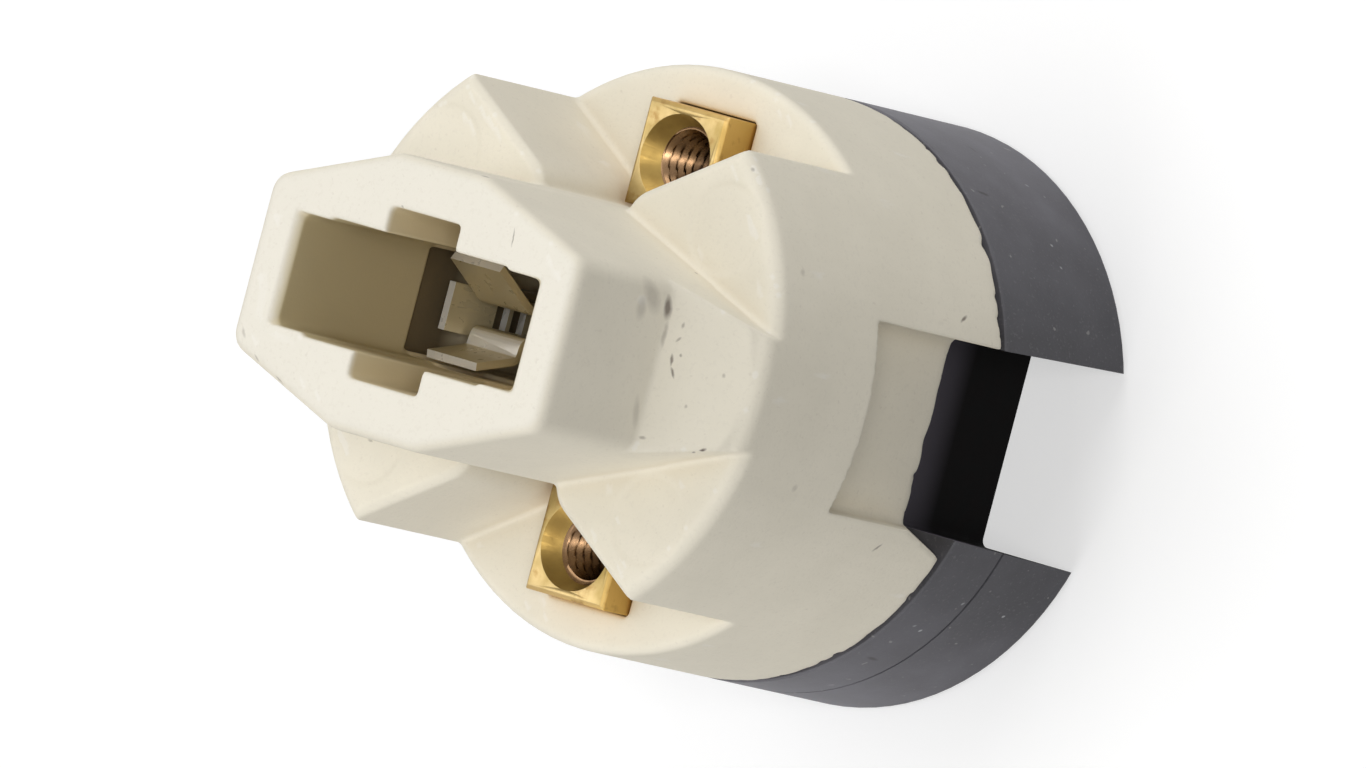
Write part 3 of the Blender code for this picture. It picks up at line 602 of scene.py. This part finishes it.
def worn_rear_edge(item):
    """The ceramic's rear edge made wavy, with small chips, around the rim and across the slot floors."""
    for vertex in item.data.vertices:
        place = vertex.co
        if place.z - ceramic_rear > edge_reach:
            continue
        radius = math.hypot(place.x, place.y)
        inward = abs(place.x) - slot_floor_x if abs(place.y) < slot_half_width else radius - body_radius
        away = math.hypot(inward, place.z - ceramic_rear)
        if away > edge_reach:
            continue
        wave = noise.noise(Vector((place.x, place.y, 0)) / edge_wave_size)
        flaking = noise.noise(Vector((place.x, place.y, edge_chip_layer)) / edge_chip_size)
        chip = max(0.0, flaking - edge_chip_level)
        depth = (edge_wave * (0.5 + 0.5 * wave) + edge_chip * chip) * (1 - away / edge_reach)
        outward = Vector((place.x / radius, place.y / radius, 0))
        vertex.co = place - outward * depth * edge_inward_share + Vector((0, 0, depth))


def press_marks(item):
    """Shallow round marks of the press punches on the wing fronts."""
    for vertex in item.data.vertices:
        place = vertex.co
        if abs(place.z - wing_front) > press_mark_edge / 2:
            continue
        away = math.hypot(abs(place.x) - press_mark_x, abs(place.y) - press_mark_y)
        share = min(1.0, max(0.0, (press_mark_radius - away) / press_mark_edge + 0.5))
        vertex.co.z -= press_mark_depth * share * share * (3 - 2 * share)


def bevelled(item, width, flat_faces=True):
    """Fine rounded edges, with the faces between them kept flat in their shading where asked."""
    item.data.shade_smooth()
    item.data.set_sharp_from_angle(angle=sharp_angle)
    bevel = item.modifiers.new("edges", "BEVEL")
    bevel.harden_normals = flat_faces
    bevel.width = width
    bevel.segments = bevel_segments
    bevel.limit_method = "ANGLE"
    bevel.angle_limit = sharp_angle
    bevel.use_clamp_overlap = True
    applied(item)


def cut(item, cutter):
    """The object less the cutter's mesh."""
    helper = object_with("cutter", cutter)
    modifier = item.modifiers.new("cut", "BOOLEAN")
    modifier.operation = "DIFFERENCE"
    modifier.solver = "EXACT"
    modifier.object = helper
    applied(item)
    bpy.data.objects.remove(helper, do_unlink=True)


def ring_mesh(rings):
    """Closed mesh through rings of equally many points."""
    bm = bmesh.new()
    levels = [[bm.verts.new(point) for point in ring] for ring in rings]
    for below, above in zip(levels, levels[1:]):
        for index in range(len(below)):
            following = (index + 1) % len(below)
            bm.faces.new((below[index], below[following], above[following], above[index]))
    bm.faces.new(levels[0][::-1])
    bm.faces.new(levels[-1])
    bmesh.ops.recalc_face_normals(bm, faces=bm.faces)
    mesh = bpy.data.meshes.new("rings")
    bm.to_mesh(mesh)
    bm.free()
    return mesh


def round_shading(item, radius):
    """Side faces at the given radius shaded as one round surface."""
    mesh = item.data
    normals = [corner.vector.copy() for corner in mesh.corner_normals]
    for face in mesh.polygons:
        for loop in face.loop_indices:
            place = mesh.vertices[mesh.loops[loop].vertex_index].co
            outward = Vector((place.x, place.y, 0))
            squarely = face.normal.dot(outward.normalized())
            if abs(outward.length - radius) < round_slack and squarely > round_outward:
                normals[loop] = outward.normalized()
    mesh.normals_split_custom_set(normals)


def thread_radius(z, turn):
    """Radius of the thread at a height and at a share of a turn."""
    phase = (z / thread_pitch - turn) % 1.0
    flank = 1 - abs(2 * phase - 1)
    return thread_low_radius + (thread_high_radius - thread_low_radius) * flank


def thread_cutter(centre_y, top):
    """Helical thread grooves, a hair wider than the block's plain bore, and the cone that leads into them."""
    count = int(thread_length / thread_pitch * thread_levels_per_turn)
    low = top - cone_depth - thread_length
    heights = [low + thread_length * level / count for level in range(count + 1)]
    levels = [(z, [thread_radius(z, side / thread_sides) for side in range(thread_sides)]) for z in heights]
    slope = (cone_mouth_radius - thread_high_radius) / cone_depth
    levels.append((top - cone_depth, [thread_high_radius] * thread_sides))
    levels.append((top + cone_rise, [cone_mouth_radius + slope * cone_rise] * thread_sides))
    angles = [2 * math.pi * side / thread_sides for side in range(thread_sides)]
    rings = []
    for z, radii in levels:
        rings.append([(r * math.cos(a), centre_y + r * math.sin(a), z) for r, a in zip(radii, angles)])
    return ring_mesh(rings)


def threaded_block(side, materials):
    """Brass block with a cone and real threads, from materials for the block, the cone and the threads."""
    node = "threaded_block_" + side
    block = welded_copy(node, "brass_block_" + side)
    low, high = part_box(node)
    bevelled(block, block_bevel, flat_faces=False)
    centre_y = (low.y + high.y) / 2
    cut(block, thread_cutter(centre_y, high.z))
    block.data.shade_smooth()
    block.data.set_sharp_from_angle(angle=sharp_angle)
    joined_to_frame(block, node, materials)
    cone_index, thread_index = 1, 2
    for face in block.data.polygons:
        middle = face.center
        radius = math.hypot(middle.x, middle.y - centre_y)
        if radius < thread_high_radius + bore_slack and middle.z < high.z - cone_depth + cone_foot_slack:
            face.material_index = thread_index
        elif radius < cone_mouth_radius and abs(face.normal.z) < cone_upward:
            face.material_index = cone_index


def hairline_cutter():
    """Thin groove around the lower half of the cover."""
    inner = body_radius - hairline_depth
    outer = body_radius + hairline_overshoot
    low = hairline_height - hairline_half_width
    high = hairline_height + hairline_half_width
    section = [(inner, low), (outer, low), (outer, high), (inner, high)]
    rings = []
    for step in range(hairline_steps + 1):
        angle = math.radians(hairline_start + hairline_sweep * step / hairline_steps)
        rings.append([(radius * math.cos(angle), radius * math.sin(angle), z) for radius, z in section])
    return ring_mesh(rings)


def mouth_cutter(side):
    """Wedge that eases the edge between one end wall of the well and the front."""
    inner = well_end_x - mouth_inset
    outer = well_end_x + mouth_ease
    profile = [(inner, front - mouth_ease), (well_end_x, front - mouth_ease), (outer, front),
               (outer, front + mouth_ease), (inner, front + mouth_ease)]
    rings = [[(side * x, y, z) for x, z in profile] for y in (-well_end_half_width, well_end_half_width)]
    return ring_mesh(rings)


def seen_directly(tree):
    """One for camera, mirror and transmission rays."""
    rays = add(tree, "ShaderNodeLightPath").outputs
    either = arithmetic(tree, "MAXIMUM", rays["Is Camera Ray"], rays["Is Glossy Ray"])
    return arithmetic(tree, "MAXIMUM", either, rays["Is Transmission Ray"])


def matt(tree, level):
    """Matt grey shader of the given level."""
    return add(tree, "ShaderNodeBsdfDiffuse", {"Color": (level, level, level, 1)}).outputs[0]


def white_floor():
    """White floor that keeps the shadow and throws little light back."""
    bm = bmesh.new()
    corners = [(-1, -1), (1, -1), (1, 1), (-1, 1)]
    bm.faces.new([bm.verts.new((x * floor_half_size, y * floor_half_size, -floor_drop)) for x, y in corners])
    mesh = bpy.data.meshes.new("floor")
    bm.to_mesh(mesh)
    bm.free()
    floor = object_with("floor", mesh)
    material = bpy.data.materials.new("floor_white")
    material.use_nodes = True
    tree = material.node_tree
    tree.nodes.remove(tree.nodes["Principled BSDF"])
    glow = add(tree, "ShaderNodeEmission", {"Color": (1, 1, 1, 1), "Strength": floor_glow}).outputs[0]
    seen = add(tree, "ShaderNodeAddShader", {0: matt(tree, floor_white), 1: glow}).outputs[0]
    inputs = {0: seen_directly(tree), 1: matt(tree, floor_bounce), 2: seen}
    chosen = add(tree, "ShaderNodeMixShader", inputs).outputs[0]
    tree.links.new(chosen, tree.nodes["Material Output"].inputs["Surface"])
    floor.data.materials.append(material)


def white_world():
    """White all round for camera and reflections, and a little light from everywhere."""
    world = bpy.data.worlds.new("world")
    world.use_nodes = True
    tree = world.node_tree
    background = tree.nodes["Background"]
    background.inputs["Color"].default_value = (1, 1, 1, 1)
    strength = ranged(tree, seen_directly(tree), 0.0, 1.0, to_low=world_strength)
    tree.links.new(strength, background.inputs["Strength"])
    bpy.context.scene.world = world


def panel(name, direction, distance, size, power):
    """Square soft light that faces the holder."""
    light = bpy.data.lights.new(name, "AREA")
    light.shape = "SQUARE"
    light.size = size
    light.energy = power
    item = object_with(name, light)
    item.location = direction.normalized() * distance
    item.rotation_euler = direction.to_track_quat("Z", "Y").to_euler()


def camera():
    """Camera at the photograph's viewing angle."""
    right = camera_right.normalized()
    up = (camera_up - right * camera_up.dot(right)).normalized()
    toward = right.cross(up)
    data = bpy.data.cameras.new("camera")
    data.lens = camera_lens
    data.sensor_width = camera_sensor
    item = object_with("camera", data)
    matrix = Matrix((right, up, toward)).transposed().to_4x4()
    matrix.translation = (Vector((0, 0, front)) + right * camera_shift_right + up * camera_shift_up
                          + toward * camera_distance)
    item.matrix_world = matrix
    bpy.context.scene.camera = item


def ceramic(material):
    """Softened ceramic body."""
    item = welded_copy("ceramic_body", "ceramic_soft")
    for side in (-1, 1):
        cut(item, mouth_cutter(side))
    regridded(item)
    worn_rear_edge(item)
    press_marks(item)
    thinned(item, ceramic_triangles)
    joined_to_frame(item, "ceramic_body", [material])


def cover(materials):
    """Dark cover with fine edges and the hairline seam, its second material, painted shade, in the side
    slots.
    """
    item = welded_copy("rear_cover", "cover_fine")
    cut(item, hairline_cutter())
    bevelled(item, cover_bevel)
    round_shading(item, body_radius)
    joined_to_frame(item, "rear_cover", materials)
    for face in item.data.polygons:
        middle = face.center
        beside = abs(middle.y) < cover_slot_half_width and math.hypot(middle.x, middle.y) < cover_slot_reach
        face.material_index = 1 if beside and abs(face.normal.z) < cover_slot_upward else 0


def small_metal(nodes, material, bevel=metal_bevel):
    """Bevelled copies of small metal parts."""
    for node in nodes:
        item = welded_copy(node, node + "_fine")
        bevelled(item, bevel)
        joined_to_frame(item, node, [material])


def both(stem, sides=("right", "left")):
    """Names of the two nodes of a pair."""
    return [stem + "_" + side for side in sides]


camera()
white_floor()
white_world()
for name, (direction, distance, size, power) in panels.items():
    panel(name, Vector(direction), distance, size, power)

ends = ("upper", "lower")
ceramic(steatite())
cover([dark_moulding(), painted_slot_shade()])
brass = [block_brass(), cone_brass(), bore_brass()]
for end in ends:
    threaded_block(end, brass)
nickel = nickel_plate()
small_metal(both("contact_clip"), nickel, clip_bevel)
small_metal(both("terminal_tab"), nickel)
small_metal(both("contact_spring"), spring_steel())
fasteners = both("tab_rivet") + both("cover_screw", ends) + both("screw_washer", ends)
small_metal(fasteners, zinc_plate())

view = bpy.context.scene.view_settings
view.view_transform = "Standard"
